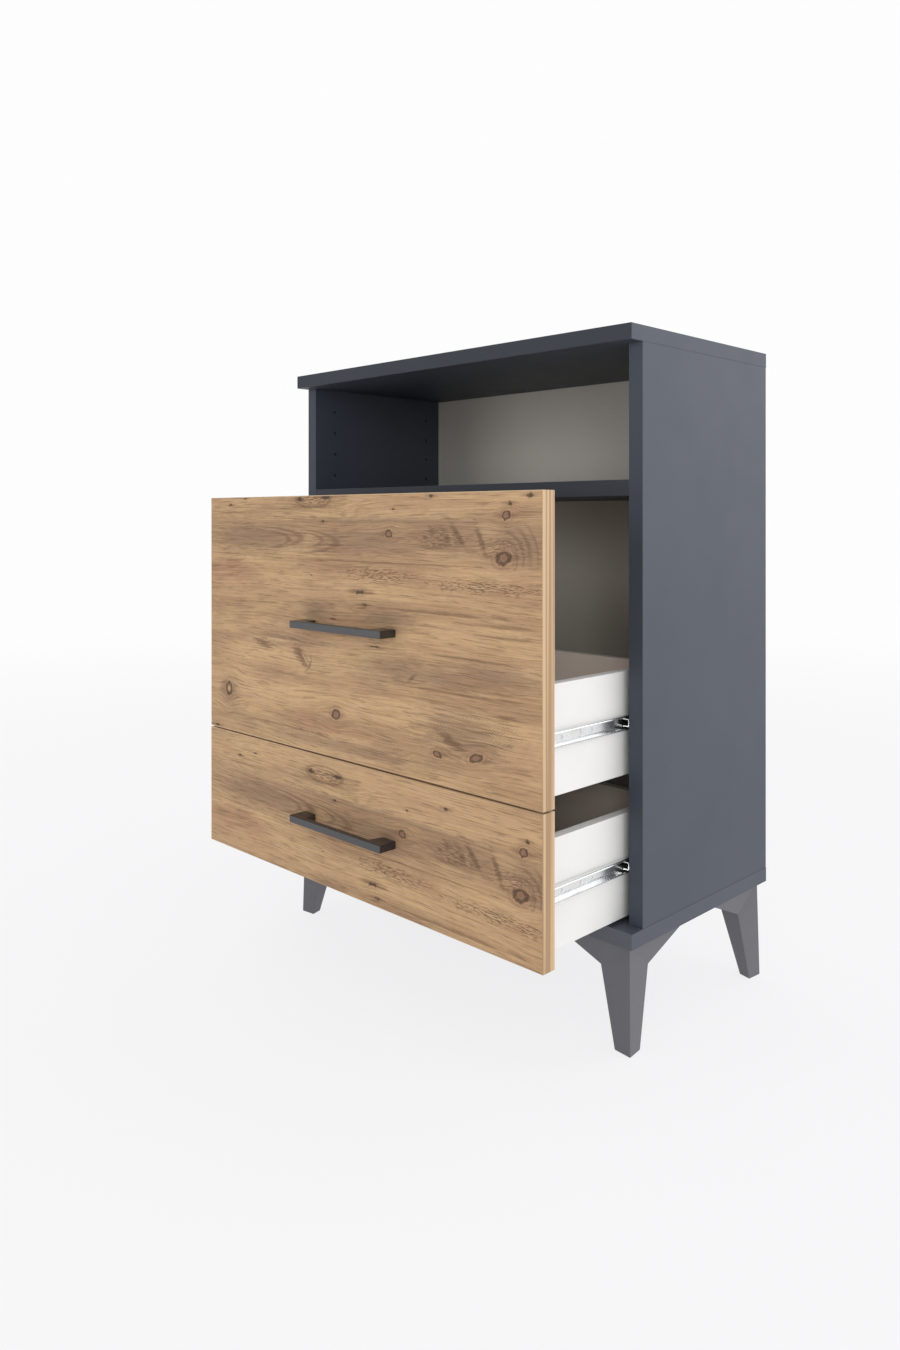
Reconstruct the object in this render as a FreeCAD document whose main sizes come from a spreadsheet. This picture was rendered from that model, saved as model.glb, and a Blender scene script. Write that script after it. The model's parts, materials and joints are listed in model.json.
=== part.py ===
# Nightstand with an open niche and two drawers on ball-bearing slides.
# Millimetres, +Z up, origin on the floor under the middle of the cabinet, front towards -Y.
# The drawers stand open as they are photographed, with slide_overlap of each slide still engaged.
import FreeCAD
import Part
import Sketcher
import math
import os
import re

doc = FreeCAD.newDocument("nightstand")
sheet = doc.addObject("Spreadsheet::Sheet", "dims")

driving_sizes = [
    # cabinet
    ("cabinet_width", 600),
    ("cabinet_depth", 300),
    ("carcass_height", 680),
    ("board", 18),
    ("panel_overhang", 21),
    ("side_rear_step", 1.25),
    ("niche_height", 151),
    ("back_thickness", 3),
    ("back_recess", 18),
    ("groove_depth", 6),
    ("groove_slack", 0.2),
    # rows of shelf-pin holes in the niche
    ("pin_diameter", 5),
    ("pin_depth", 10),
    ("pin_pitch", 32),
    ("pin_first_row", 22),
    ("pin_front_inset", 37),
    ("pin_rear_inset", 29),
    # legs
    ("leg_height", 120),
    ("leg_corner_inset", 8.4),
    ("foot_corner_inset", 6),
    ("foot_side", 22.3),
    ("foot_skew", 2.5),
    ("foot_inner", 18),
    ("knee_reach", 50),
    ("knee_drop", 33),
    ("knee_inner", 43.6),
    ("wing_reach", 120),
    ("wing_edge", 3),
    # drawer fronts
    ("front_thickness", 18),
    ("front_band", 1),
    ("front_side_gap", 1),
    ("front_foot_gap", 3),
    ("front_split_gap", 2),
    ("front_rear_gap", 1),
    ("front_shelf_overlap", 3),
    ("lower_front_height", 157),
    # drawer boxes
    ("drawer_rear_clearance", 9),
    ("drawer_wall", 12),
    ("drawer_wall_height", 116),
    ("drawer_lift", 1),
    ("drawer_bottom", 3),
    ("bottom_lift", 10),
    ("bottom_groove", 5),
    # dowels
    ("dowel_diameter", 8),
    ("dowel_length", 30),
    ("dowel_depth", 11),
    ("dowel_inset", 45),
    ("drawer_dowel_diameter", 6),
    ("drawer_dowel_length", 24),
    ("drawer_dowel_depth", 8),
    ("drawer_dowel_inset", 35),
    ("dowel_play", 0.1),
    # ball-bearing slides
    ("slide_gap", 10),
    ("slide_height", 16.5),
    ("slide_level", 60),
    ("slide_sheet", 1),
    ("slide_bend", 1.6),
    ("slide_lip", 0.9),
    ("slide_overlap", 100),
    ("channel_clearance", 2.5),
    ("slide_hole", 4),
    ("slide_hole_inset", 43),
    ("slot_inset", 67),
    ("slot_to_hole", 28),
    ("slot_length", 10.3),
    ("slot_radius", 4.5),
    ("ball_diameter", 2.7),
    ("ball_play", 0.1),
    ("cage_length", 68),
    ("cage_room", 1),
    ("cage_sheet", 0.5),
    ("cage_end_margin", 10),
    ("notch_play", 0.15),
    # handles
    ("handle_length", 168),
    ("handle_projection", 24),
    ("handle_height", 9),
    ("handle_bar", 7),
    ("handle_foot", 21),
    ("handle_shoulder", 26),
    ("handle_chamfer", 0.6),
    ("screw_diameter", 4),
    ("screw_clearance", 0.25),
    ("screw_reach", 12),
    ("screw_head", 8),
    ("screw_head_height", 2.4),
]
pin_rows = 4
balls_in_row = 3
dowel_flats = 8
same_spot = 1e-6
eighth_turn = 45

for row, (alias, size) in enumerate(driving_sizes, start=1):
    sheet.set(f"A{row}", alias)
    sheet.set(f"B{row}", str(size))
    sheet.setAlias(f"B{row}", alias)
doc.recompute()

# Places worked out from the sheet, as formulas on its names
half_width = "cabinet_width / 2"
half_depth = "cabinet_depth / 2"
carcass_foot = "leg_height"
inner_half = "(cabinet_width / 2 - board)"
inner_foot = "(leg_height + board)"
inner_top = "(leg_height + carcass_height - board)"
side_front = "(panel_overhang - cabinet_depth / 2)"
side_rear = "(cabinet_depth / 2 - side_rear_step)"
back_face = "(cabinet_depth / 2 - back_recess - back_thickness)"
shelf_top = f"({inner_top} - niche_height)"
drawer_length = f"({back_face} - {side_front} + front_rear_gap - drawer_rear_clearance)"
drawer_opening = f"({drawer_length} - slide_overlap)"
front_rear = f"({side_front} - front_rear_gap - {drawer_opening})"
front_face = f"({front_rear} - front_thickness)"
box_half = f"({inner_half} - slide_gap)"
rail_half = "(slide_height / 2 - slide_sheet - ball_diameter - 2 * ball_play)"
rail_depth = "(slide_gap - slide_sheet - cage_room)"
channel_depth = "(slide_gap - channel_clearance)"
ball_level = "(slide_height / 2 - slide_sheet - ball_play - ball_diameter / 2)"
ball_depth = f"(({rail_depth} + channel_clearance) / 2)"
cage_front = f"({side_front} + (slide_overlap - cage_length) / 2)"
ball_pitch = f"((cage_length - 2 * cage_end_margin) / {balls_in_row - 1})"
bottom_half = f"({box_half} - drawer_wall + bottom_groove - groove_slack)"
screw_offset = "((handle_length - handle_foot) / 2)"
screw_bore = "(screw_diameter + 2 * screw_clearance)"

lower_front_foot = f"({inner_foot} + front_foot_gap)"
upper_front_foot = f"({lower_front_foot} + lower_front_height + front_split_gap)"
upper_front_height = f"({shelf_top} - board + front_shelf_overlap - {upper_front_foot})"

nodes = []
bores = {}


def bound(text):
    return re.sub(r"[a-z]\w*", lambda word: "dims." + word.group(), text)


def size_of(alias):
    return float(sheet.get(alias))


def bind(thing, **formulas):
    for name, text in formulas.items():
        thing.setExpression(name, bound(text))


def place(thing, x, y, z):
    for axis, text in zip("xyz", (x, y, z)):
        thing.setExpression(f"Placement.Base.{axis}", bound(text))


def keep(thing, label):
    thing.Label = label
    nodes.append(thing)
    return thing


def sign(side):
    return 1 if side == "right" else -1


def across(side, start, length):
    # lowest x of something that runs outwards from start on one side
    return start if side == "right" else f"-({start}) - ({length})"


def block(name, low, size):
    box = doc.addObject("Part::Box", name)
    bind(box, Length=size[0], Width=size[1], Height=size[2])
    place(box, *low)
    return box


def rod(name, start, heading, diameter, length):
    bar = doc.addObject("Part::Cylinder", name)
    bar.Placement.Rotation = FreeCAD.Rotation(FreeCAD.Vector(0, 0, 1), FreeCAD.Vector(*heading))
    bind(bar, Radius=f"({diameter}) / 2", Height=length)
    place(bar, *start)
    return bar


def peg(name, start, heading, diameter, length):
    bar = doc.addObject("Part::Prism", name)
    bar.Polygon = dowel_flats
    bar.Placement.Rotation = FreeCAD.Rotation(FreeCAD.Vector(0, 0, 1), FreeCAD.Vector(*heading))
    bind(bar, Circumradius=f"({diameter}) / 2", Height=length)
    place(bar, *start)
    return bar


def dowel(name, joint, heading, size, boards):
    # a peg with flats that crosses the joint face along heading, and the hole for it in both boards
    def along(distance):
        return [f"{at} + {way} * ({distance})" if way else at for at, way in zip(joint, heading)]

    hole = peg(name + "_hole", along(f"-{size}_depth - dowel_play"), heading,
               f"{size}_diameter + 2 * dowel_play", f"{size}_length + 2 * dowel_play")
    for board in boards:
        bores.setdefault(board, []).append(hole)
    return peg(name, along(f"-{size}_depth"), heading, f"{size}_diameter", f"{size}_length")


def cut(name, base, tools):
    tool = tools[0]
    if len(tools) > 1:
        tool = doc.addObject("Part::MultiFuse", name + "_tools")
        tool.Shapes = tools
    result = doc.addObject("Part::Cut", name + "_cut")
    result.Base = base
    result.Tool = tool
    return result


def group(name, things):
    pack = doc.addObject("Part::Compound", name + "_group")
    pack.Links = things
    return pack


def new_sketch(body, name, role):
    sketch = body.newObject("Sketcher::SketchObject", name)
    plane = [feature for feature in body.Origin.OriginFeatures if feature.Role == role][0]
    sketch.AttachmentSupport = (plane, "")
    sketch.MapMode = "FlatFace"
    return sketch


def pin_point(sketch, geometry, position, x, y):
    # each distance starts where the point is drawn, so that nothing collapses before the sizes arrive
    drawn = sketch.getPoint(geometry, position)
    for kind, start, text in (("DistanceX", drawn.x, x), ("DistanceY", drawn.y, y)):
        number = sketch.addConstraint(Sketcher.Constraint(kind, -1, 1, geometry, position, start))
        sketch.setExpression(f"Constraints[{number}]", bound(text))


def draw_outline(sketch, corners):
    count = len(corners)
    ring = [2 * math.pi * number / count for number in range(count + 1)]
    points = [FreeCAD.Vector(math.cos(turn), math.sin(turn), 0) for turn in ring]
    for number in range(count):
        sketch.addGeometry(Part.LineSegment(points[number], points[number + 1]))
    for number in range(count):
        after = (number + 1) % count
        sketch.addConstraint(Sketcher.Constraint("Coincident", number, 2, after, 1))
    for number, (x, y) in enumerate(corners):
        pin_point(sketch, number, 1, x, y)


def draw_circle(sketch, x, y, diameter):
    number = sketch.addGeometry(Part.Circle(FreeCAD.Vector(), FreeCAD.Vector(0, 0, 1), 1))
    pin_point(sketch, number, 3, x, y)
    width = sketch.addConstraint(Sketcher.Constraint("Diameter", number, 2.0))
    sketch.setExpression(f"Constraints[{width}]", bound(diameter))


def draw_slot(sketch, middle, length, radius):
    # a round-ended slot along the sketch's x axis; length runs between the centres of its ends
    up = FreeCAD.Vector(0, 0, 1)
    rise = FreeCAD.Vector(0, size_of(radius), 0)
    far_end = FreeCAD.Vector(size_of(middle) + size_of(length) / 2, 0, 0)
    near_end = FreeCAD.Vector(size_of(middle) - size_of(length) / 2, 0, 0)
    far_round = Part.Circle(far_end, up, size_of(radius))
    near_round = Part.Circle(near_end, up, size_of(radius))
    far = sketch.addGeometry(Part.ArcOfCircle(far_round, -math.pi / 2, math.pi / 2))
    near = sketch.addGeometry(Part.ArcOfCircle(near_round, math.pi / 2, 1.5 * math.pi))
    over = sketch.addGeometry(Part.LineSegment(far_end + rise, near_end + rise))
    under = sketch.addGeometry(Part.LineSegment(near_end - rise, far_end - rise))
    for first, then in ((far, over), (over, near), (near, under), (under, far)):
        sketch.addConstraint(Sketcher.Constraint("Tangent", first, 2, then, 1))
    sketch.addConstraint(Sketcher.Constraint("Equal", far, near))
    pin_point(sketch, far, 3, f"{middle} + {length} / 2", "0")
    pin_point(sketch, near, 3, f"{middle} - {length} / 2", "0")
    width = sketch.addConstraint(Sketcher.Constraint("Radius", far, size_of(radius)))
    sketch.setExpression(f"Constraints[{width}]", bound(radius))


def run_profile(name, corners, length):
    # a constant section, drawn in the XZ plane, that runs along +Y
    body = doc.addObject("PartDesign::Body", name)
    sketch = new_sketch(body, name + "_section", "XZ_Plane")
    draw_outline(sketch, corners)
    pad = body.newObject("PartDesign::Pad", name + "_run")
    pad.Profile = sketch
    pad.Reversed = True
    bind(pad, Length=length)
    doc.recompute()
    return body, sketch, pad


def round_bends(body, sketch, base, corners, radius):
    spots = [sketch.Geometry[number].StartPoint for number in corners]
    names = []
    for number, edge in enumerate(base.Shape.Edges, start=1):
        first, last = edge.Vertexes[0].Point, edge.Vertexes[-1].Point
        along = math.hypot(first.x - last.x, first.z - last.z) < same_spot
        if along and any(math.hypot(first.x - s.x, first.z - s.y) < same_spot for s in spots):
            names.append(f"Edge{number}")
    bend = body.newObject("PartDesign::Fillet", f"{body.Name}_bend{corners[0]}")
    bend.Base = (base, names)
    bind(bend, Radius=radius)
    doc.recompute()


def pierce(body, circles, slots):
    # holes through a web that lies on the YZ plane
    sketch = new_sketch(body, body.Name + "_holes", "YZ_Plane")
    for y, diameter in circles:
        draw_circle(sketch, y, "0", diameter)
    for y, length, radius in slots:
        draw_slot(sketch, y, length, radius)
    pocket = body.newObject("PartDesign::Pocket", body.Name + "_pierced")
    pocket.Profile = sketch
    pocket.Type = "ThroughAll"
    pocket.Midplane = True


def turn_for(side):
    # the sections are drawn for the right side; half a turn about Y makes the left one
    return FreeCAD.Rotation(FreeCAD.Vector(0, 1, 0), 0 if side == "right" else 180)


# Carcass boards

def back_groove(name, low_x, low_z, length, height):
    low = (low_x, f"{back_face} - groove_slack", low_z)
    return block(name, low, (length, "back_thickness + 2 * groove_slack", height))


def wide_panel(label, foot, groove_foot):
    board = block(label + "_board", (f"-{half_width}", f"-{half_depth}", foot),
                  ("cabinet_width", "cabinet_depth", "board"))
    groove = back_groove(label + "_groove", f"-({inner_half} + groove_depth)", groove_foot,
                         f"2 * ({inner_half} + groove_depth)", "groove_depth")
    keep(cut(label, board, [groove] + bores[label]), label)


def side_panel(side):
    label = side + "_side_panel"
    board = block(label + "_board", (across(side, inner_half, "board"), side_front, inner_foot),
                  ("board", f"{side_rear} - {side_front}", f"{inner_top} - {inner_foot}"))
    tools = [back_groove(label + "_groove", across(side, inner_half, "groove_depth"), inner_foot,
                         "groove_depth", f"{inner_top} - {inner_foot}")]
    columns = (f"{side_front} + pin_front_inset", f"{back_face} - pin_rear_inset")
    for column, y in enumerate(columns):
        for row in range(pin_rows):
            start = (f"{sign(side)} * {inner_half}", y, f"{shelf_top} + pin_first_row + {row} * pin_pitch")
            tools.append(rod(f"{label}_pin{column}{row}", start, (sign(side), 0, 0),
                             "pin_diameter", "pin_depth"))
    keep(cut(label, board, tools + bores[label]), label)


def niche_shelf():
    board = block("niche_shelf_board", (f"-{inner_half}", side_front, f"{shelf_top} - board"),
                  (f"2 * {inner_half}", f"{back_face} - groove_slack - {side_front}", "board"))
    keep(cut("niche_shelf", board, bores["niche_shelf"]), "niche_shelf")


def carcass_dowels():
    pegs = []
    for side in ("left", "right"):
        panel = side + "_side_panel"
        out = sign(side)
        edge = f"{out} * ({inner_half} + board / 2)"
        face = f"{out} * {inner_half}"
        for end, y in (("front", f"{side_front} + dowel_inset"), ("rear", f"{back_face} - dowel_inset")):
            name = f"{side}_{end}_dowel"
            pegs += [
                dowel(name + "_top", (edge, y, inner_top), (0, 0, -1), "dowel", ("top_panel", panel)),
                dowel(name + "_base", (edge, y, inner_foot), (0, 0, 1), "dowel", ("bottom_panel", panel)),
                dowel(name + "_shelf", (face, y, f"{shelf_top} - board / 2"), (-out, 0, 0), "dowel",
                      (panel, "niche_shelf")),
            ]
    keep(group("carcass_dowels", pegs), "carcass_dowels")


carcass_dowels()
wide_panel("top_panel", inner_top, inner_top)
wide_panel("bottom_panel", carcass_foot, f"{inner_foot} - groove_depth")
for side in ("left", "right"):
    side_panel(side)
niche_shelf()
back_reach = "(groove_depth - groove_slack)"
keep(block("back_board", (f"-({inner_half} + {back_reach})", back_face, f"{inner_foot} - {back_reach}"),
           (f"2 * ({inner_half} + {back_reach})", "back_thickness",
            f"{inner_top} - {inner_foot} + 2 * {back_reach}")), "back_panel")


# Moulded legs: a tapering kite-shaped shank that flares into two wings under the panel

def level_on_plane(a, b, c, x, y):
    # height at (x, y) of the plane through three points
    normal = (b - a).cross(c - a)
    return a.z - (normal.x * (x - a.x) + normal.y * (y - a.y)) / normal.z


def leg_points():
    # distances in from the panel's side edge (x) and from its front or rear edge (y), z up from the floor
    height = size_of("leg_height")
    top = size_of("leg_corner_inset")
    foot = size_of("foot_corner_inset")
    skewed = foot + size_of("foot_skew")
    reach = foot + size_of("foot_side")
    heart = foot + size_of("foot_inner")
    knee = size_of("knee_reach")
    knee_level = height - size_of("knee_drop")
    points = {
        "top": FreeCAD.Vector(top, top, height),
        "foot": FreeCAD.Vector(foot, foot, 0),
        "foot_side": FreeCAD.Vector(skewed, reach, 0),
        "foot_inner": FreeCAD.Vector(heart, heart, 0),
        "tip_top": FreeCAD.Vector(top, size_of("wing_reach"), height),
    }
    # the knee lies in the plane of the outer facet, the wing's lower tip in the plane of the wing
    outer = (points["foot_side"] - points["foot"]).cross(points["top"] - points["foot"])
    run = outer.y * (knee - foot) + outer.z * knee_level
    points["knee"] = FreeCAD.Vector(foot - run / outer.x, knee, knee_level)
    lean = (points["knee"].x - top) / size_of("knee_drop")
    edge = size_of("wing_edge")
    points["tip_low"] = FreeCAD.Vector(top + lean * edge, size_of("wing_reach"), height - edge)
    inner = size_of("knee_inner")
    level = level_on_plane(points["knee"], points["foot_side"], points["foot_inner"], inner, inner)
    points["knee_inner"] = FreeCAD.Vector(inner, inner, level)
    return points


def leg_solid(side, end):
    here = leg_points()
    half = FreeCAD.Vector(size_of("cabinet_width") / 2, size_of("cabinet_depth") / 2, 0)
    facing = -1 if end == "front" else 1

    def spot(name, mirrored):
        point = here[name]
        x, y = (point.y, point.x) if mirrored else (point.x, point.y)
        return FreeCAD.Vector(sign(side) * (half.x - x), facing * (half.y - y), point.z)

    def facet(*corners):
        points = [spot(*corner) for corner in corners]
        return Part.Face(Part.makePolygon(points + points[:1]))

    facets = [
        facet(("top", 0), ("tip_top", 0), ("tip_top", 1)),
        facet(("tip_top", 0), ("tip_low", 0), ("tip_low", 1), ("tip_top", 1)),
        facet(("tip_low", 0), ("knee_inner", 0), ("tip_low", 1)),
        facet(("foot", 0), ("foot_side", 0), ("foot_inner", 0), ("foot_side", 1)),
    ]
    for way in (0, 1):
        facets += [
            facet(("top", way), ("tip_top", way), ("tip_low", way), ("knee", way)),
            facet(("top", way), ("knee", way), ("foot_side", way), ("foot", way)),
            facet(("knee", way), ("tip_low", way), ("knee_inner", way)),
            facet(("knee", way), ("knee_inner", way), ("foot_inner", way), ("foot_side", way)),
        ]
    solid = Part.Solid(Part.Shell(facets))
    if solid.Volume < 0:
        solid.reverse()
    return solid


for end in ("front", "rear"):
    for side in ("left", "right"):
        leg = doc.addObject("Part::Feature", f"{end}_{side}_leg_moulding")
        leg.Shape = leg_solid(side, end)
        keep(leg, f"{end}_{side}_leg")


# Ball-bearing slides: a rail on the cabinet, a channel on the drawer, and a ball cage between them

def rail(label, side, centre):
    end = f"({rail_depth} - slide_sheet)"
    inside = f"({rail_half} - slide_sheet)"
    lip = f"({rail_half} + slide_lip)"
    corners = [("0", f"-{rail_half}"), (f"-{end}", f"-{rail_half}"), (f"-{end}", f"-{lip}"),
               (f"-{rail_depth}", f"-{lip}"), (f"-{rail_depth}", f"-{inside}"),
               ("-slide_sheet", f"-{inside}"), ("-slide_sheet", inside), (f"-{rail_depth}", inside),
               (f"-{rail_depth}", lip), (f"-{end}", lip), (f"-{end}", rail_half), ("0", rail_half)]
    body, section, run = run_profile(label + "_body", corners, drawer_length)
    web_corners = [0, 11]
    round_bends(body, section, run, web_corners, "slide_bend")
    pierce(body, [("slot_inset", "slide_hole"), (f"{drawer_length} - slot_inset", "slide_hole")], [])
    body.Placement.Rotation = turn_for(side)
    place(body, f"{sign(side)} * {inner_half}", side_front, centre)
    keep(body, label)


def channel(label, side, centre):
    end = f"({channel_depth} - slide_sheet)"
    outside = "(slide_height / 2)"
    inside = "(slide_height / 2 - slide_sheet)"
    lip = f"({inside} - slide_lip)"
    corners = [("0", f"-{outside}"), (channel_depth, f"-{outside}"), (channel_depth, f"-{lip}"),
               (end, f"-{lip}"), (end, f"-{inside}"), ("slide_sheet", f"-{inside}"),
               ("slide_sheet", inside), (end, inside), (end, lip), (channel_depth, lip),
               (channel_depth, outside), ("0", outside)]
    body, section, run = run_profile(label + "_body", corners, drawer_length)
    outer_corners = [0, 1, 10, 11]
    round_bends(body, section, run, outer_corners, "slide_bend")
    pierce(body, [("slide_hole_inset", "slide_hole"),
                  ("slot_inset + slot_to_hole", "slide_hole")],
           [("slot_inset", "slot_length", "slot_radius")])
    body.Placement.Rotation = turn_for(side)
    place(body, f"{sign(side)} * {box_half}", front_rear, centre)
    keep(body, label)


def cage(name, side, centre):
    # a folded strip whose two edges are notched for the balls
    web = f"({rail_depth} + (cage_room + cage_sheet) / 2)"
    back = f"({web} - cage_sheet)"
    tip = f"({ball_depth} - ball_diameter / 2 + cage_sheet)"
    outside = f"({ball_level} + cage_sheet / 2)"
    inside = f"({ball_level} - cage_sheet / 2)"
    corners = [(f"-{web}", f"-{outside}"), (f"-{tip}", f"-{outside}"), (f"-{tip}", f"-{inside}"),
               (f"-{back}", f"-{inside}"), (f"-{back}", inside), (f"-{tip}", inside),
               (f"-{tip}", outside), (f"-{web}", outside)]
    body, _, _ = run_profile(name + "_body", corners, "cage_length")
    body.Placement.Rotation = turn_for(side)
    place(body, f"{sign(side)} * {inner_half}", cage_front, centre)
    notch = "(ball_diameter + 2 * notch_play)"
    notches = []
    for number, (x, y, z) in enumerate(ball_places(side, centre)):
        low = (f"{x} - {notch} / 2", f"{y} - {notch} / 2", f"{z} - cage_sheet")
        notches.append(block(f"{name}_notch{number}", low, (notch, notch, "2 * cage_sheet")))
    return cut(name, body, notches)


def ball_places(side, centre):
    places = []
    for level in (f"{centre} - {ball_level}", f"{centre} + {ball_level}"):
        for number in range(balls_in_row):
            y = f"{cage_front} + cage_end_margin + {number} * {ball_pitch}"
            places.append((f"{sign(side)} * ({inner_half} - {ball_depth})", y, level))
    return places


def ball(name, where):
    # eighteen flats around a ball, because the balls are small, many and shut in
    width = size_of("ball_diameter")
    corner = FreeCAD.Vector(-width / 2, -width / 2, -width / 2)
    shape = Part.makeBox(width, width, width, corner)
    for axis in (FreeCAD.Vector(1, 0, 0), FreeCAD.Vector(0, 1, 0), FreeCAD.Vector(0, 0, 1)):
        tilted = Part.makeBox(width, width, width, corner)
        tilted.rotate(FreeCAD.Vector(), axis, eighth_turn)
        shape = shape.common(tilted)
    bead = doc.addObject("Part::Feature", name)
    bead.Shape = shape
    place(bead, *where)
    return bead


# Drawers

def bottom_foot(foot):
    return f"({foot} + drawer_lift + bottom_lift)"


def drawer_front(name, foot, height):
    wide = f"({half_width} - front_side_gap)"
    core = f"({wide} - front_band)"
    board = block(name + "_front_board", (f"-{core}", front_face, f"{foot} + front_band"),
                  (f"2 * {core}", "front_thickness", f"{height} - 2 * front_band"))
    groove = block(name + "_front_groove",
                   (f"-{bottom_half} - groove_slack", f"{front_rear} - bottom_groove", bottom_foot(foot)),
                   (f"2 * ({bottom_half} + groove_slack)", "bottom_groove", "drawer_bottom + groove_slack"))
    holes = [rod(f"{name}_front_hole{way}", (f"{way} * {screw_offset}", front_face, f"{foot} + {height} / 2"),
                 (0, 1, 0), screw_bore, "front_thickness") for way in (-1, 1)]
    label = name + "_front"
    keep(cut(label, board, [groove] + holes + bores[label]), label)
    rim = block(name + "_band_outside", (f"-{wide}", front_face, foot),
                (f"2 * {wide}", "front_thickness", height))
    opening = block(name + "_band_inside", (f"-{core}", front_face, f"{foot} + front_band"),
                    (f"2 * {core}", "front_thickness", f"{height} - 2 * front_band"))
    keep(cut(name + "_front_edge_band", rim, [opening]), name + "_front_edge_band")


def drawer_dowels(name, foot):
    pegs = []
    base = f"{foot} + drawer_lift"
    for side in ("left", "right"):
        wall = f"{name}_drawer_{side}_side"
        out = sign(side)
        edge = f"{out} * ({box_half} - drawer_wall / 2)"
        face = f"{out} * ({box_half} - drawer_wall)"
        levels = (("low", f"{base} + drawer_dowel_inset"),
                  ("high", f"{base} + drawer_wall_height - drawer_dowel_inset"))
        for step, z in levels:
            pegs.append(dowel(f"{wall}_{step}_dowel", (edge, front_rear, z), (0, 1, 0), "drawer_dowel",
                              (name + "_front", wall)))
        middle = f"{front_rear} + {drawer_length} - drawer_wall / 2"
        half_way_up = f"{base} + drawer_wall_height / 2"
        pegs.append(dowel(f"{wall}_back_dowel", (face, middle, half_way_up), (-out, 0, 0),
                          "drawer_dowel", (wall, name + "_drawer_back")))
    keep(group(name + "_drawer_dowels", pegs), name + "_drawer_dowels")


def drawer_box(name, foot):
    base = f"({foot} + drawer_lift)"
    for side in ("left", "right"):
        label = f"{name}_drawer_{side}_side"
        inside = f"({box_half} - drawer_wall)"
        wall = block(label + "_board", (across(side, inside, "drawer_wall"), front_rear, base),
                     ("drawer_wall", drawer_length, "drawer_wall_height"))
        groove = block(label + "_groove",
                       (across(side, inside, "bottom_groove"), front_rear, bottom_foot(foot)),
                       ("bottom_groove", drawer_length, "drawer_bottom + groove_slack"))
        keep(cut(label, wall, [groove] + bores[label]), label)
    bottom_top = f"({bottom_foot(foot)} + drawer_bottom)"
    label = name + "_drawer_back"
    back_half = f"({box_half} - drawer_wall)"
    board = block(label + "_board",
                  (f"-{back_half}", f"{front_rear} + {drawer_length} - drawer_wall", bottom_top),
                  (f"2 * {back_half}", "drawer_wall", f"{base} + drawer_wall_height - {bottom_top}"))
    keep(cut(label, board, bores[label]), label)
    keep(block(name + "_bottom_board",
               (f"-{bottom_half}", f"{front_rear} - bottom_groove + groove_slack", bottom_foot(foot)),
               (f"2 * {bottom_half}", f"{drawer_length} + bottom_groove - groove_slack", "drawer_bottom")),
         name + "_drawer_bottom")


def handle(name, foot, height):
    # one casting: a flat bar on two feet whose inner sides slant
    label = name + "_handle"
    body = doc.addObject("PartDesign::Body", label + "_body")
    outline = new_sketch(body, label + "_plan", "XY_Plane")
    end = "handle_length / 2"
    foot_inside = "(handle_length / 2 - handle_foot)"
    shoulder = "(handle_length / 2 - handle_shoulder)"
    grip = "(handle_projection - handle_bar)"
    draw_outline(outline, [(end, "0"), (foot_inside, "0"), (shoulder, f"-{grip}"),
                           (f"-{shoulder}", f"-{grip}"), (f"-{foot_inside}", "0"), (f"-{end}", "0"),
                           (f"-{end}", "-handle_projection"), (end, "-handle_projection")])
    pad = body.newObject("PartDesign::Pad", label + "_pad")
    pad.Profile = outline
    bind(pad, Length="handle_height")
    doc.recompute()
    free_edges = [f"Edge{number}" for number, edge in enumerate(pad.Shape.Edges, start=1)
                  if min(vertex.Y for vertex in edge.Vertexes) < -same_spot]
    chamfer = body.newObject("PartDesign::Chamfer", label + "_chamfer")
    chamfer.Base = (pad, free_edges)
    bind(chamfer, Size="handle_chamfer")
    doc.recompute()
    tapped = new_sketch(body, label + "_taps", "XZ_Plane")
    for way in (-1, 1):
        draw_circle(tapped, f"{way} * {screw_offset}", "handle_height / 2", screw_bore)
    pocket = body.newObject("PartDesign::Pocket", label + "_tapped")
    pocket.Profile = tapped
    pocket.Reversed = True
    bind(pocket, Length="screw_reach + screw_clearance")
    place(body, "0", front_face, f"{foot} + {height} / 2 - handle_height / 2")
    keep(body, label)

    screws = []
    for way in (-1, 1):
        x = f"{way} * {screw_offset}"
        level = f"{foot} + {height} / 2"
        shank = rod(f"{name}_screw_shank{way}", (x, f"{front_face} - screw_reach", level), (0, 1, 0),
                    "screw_diameter", "screw_reach + front_thickness")
        head = rod(f"{name}_screw_head{way}", (x, front_rear, level), (0, 1, 0),
                   "screw_head", "screw_head_height")
        screw = doc.addObject("Part::Fuse", f"{name}_screw{way}")
        screw.Base = shank
        screw.Tool = head
        screws.append(screw)
    keep(group(name + "_handle_screws", screws), name + "_handle_screws")


def drawer(name, foot, height):
    drawer_dowels(name, foot)
    drawer_front(name, foot, height)
    drawer_box(name, foot)
    handle(name, foot, height)
    centre = f"({foot} + drawer_lift + slide_level)"
    cages, balls = [], []
    for side in ("left", "right"):
        rail(f"{name}_{side}_cabinet_rail", side, centre)
        channel(f"{name}_{side}_drawer_channel", side, centre)
        cages.append(cage(f"{name}_{side}_cage", side, centre))
        for number, where in enumerate(ball_places(side, centre)):
            balls.append(ball(f"{name}_{side}_ball{number}", where))
    keep(group(name + "_ball_cages", cages), name + "_ball_cages")
    keep(group(name + "_bearing_balls", balls), name + "_bearing_balls")


drawer("lower", lower_front_foot, "lower_front_height")
drawer("upper", upper_front_foot, upper_front_height)
doc.recompute()

# Nothing is written unless every object was built
for thing in doc.Objects:
    if "Invalid" in thing.State or "Error" in thing.State:
        raise RuntimeError(f"{thing.Label} was not built: {thing.State}")
for thing in nodes:
    if thing.Shape.isNull() or not thing.Shape.isValid() or not thing.Shape.Solids:
        raise RuntimeError(f"{thing.Label} has no valid solid")

os.makedirs("parts", exist_ok=True)
for thing in nodes:
    thing.Shape.exportStep(f"parts/{thing.Label}.step")
print(len(nodes), "sub-parts written")
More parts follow.
